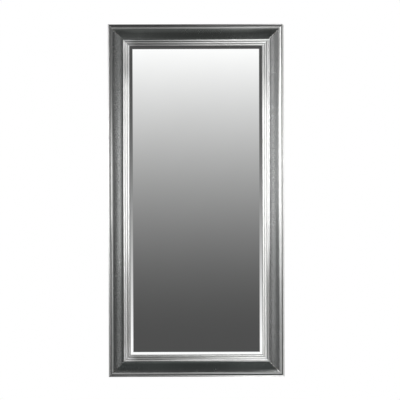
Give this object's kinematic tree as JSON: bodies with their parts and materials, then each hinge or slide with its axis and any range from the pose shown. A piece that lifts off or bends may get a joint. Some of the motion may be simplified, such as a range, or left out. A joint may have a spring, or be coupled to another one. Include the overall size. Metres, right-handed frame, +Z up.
{
  "type": "beveled wall mirror",
  "caption": "Tall rectangular wall mirror with a beveled glass in a wide mitred frame of beaded cove moulding, hung on swinging rings.",
  "frame": {"origin": "on the wall plane, behind the middle of the mirror: the plane of the two wall bumpers' faces", "axes": "+Z up, +X to the right as seen from the room, and the mirror faces the room along -Y"},
  "size_m": [0.759, 0.046, 1.524],
  "materials": {
    "silver_leaf": "aged silver leaf",
    "mirror": "silvered, polished",
    "board": "bare fibreboard",
    "pad_rubber": "matte",
    "point_steel": "plain",
    "zinc_steel": "zinc plated",
    "screw_steel": "zinc plated",
    "nickel_steel": "nickel plated",
    "bumper_rubber": "matte"
  },
  "bodies": {
    "frame": {"top_rail": "silver_leaf", "bottom_rail": "silver_leaf", "left_rail": "silver_leaf", "right_rail": "silver_leaf", "mirror_glass": "mirror", "backing_board": "board", "edge_pads": "pad_rubber", "framer_points": "point_steel", "v_nails": "point_steel", "corner_brace_top_left": "zinc_steel", "corner_brace_top_right": "zinc_steel", "corner_brace_bottom_left": "zinc_steel", "corner_brace_bottom_right": "zinc_steel", "brace_screws": "screw_steel", "left_hanger_strap": "nickel_steel", "right_hanger_strap": "nickel_steel", "hanger_screws": "screw_steel", "wall_bumpers": "bumper_rubber"},
    "left_ring": {"left_d_ring": "nickel_steel"},
    "right_ring": {"right_d_ring": "nickel_steel"}
  },
  "joints": [
    {"name": "left_ring_swing", "type": "hinge", "parent": "frame", "child": "left_ring", "pos_m": [-0.3365, -0.005, 0.432], "axis": [-1, 0, 0], "range_deg": [0, 175]},
    {"name": "right_ring_swing", "type": "hinge", "parent": "frame", "child": "right_ring", "pos_m": [0.3365, -0.005, 0.432], "axis": [-1, 0, 0], "range_deg": [0, 175]}
  ]
}
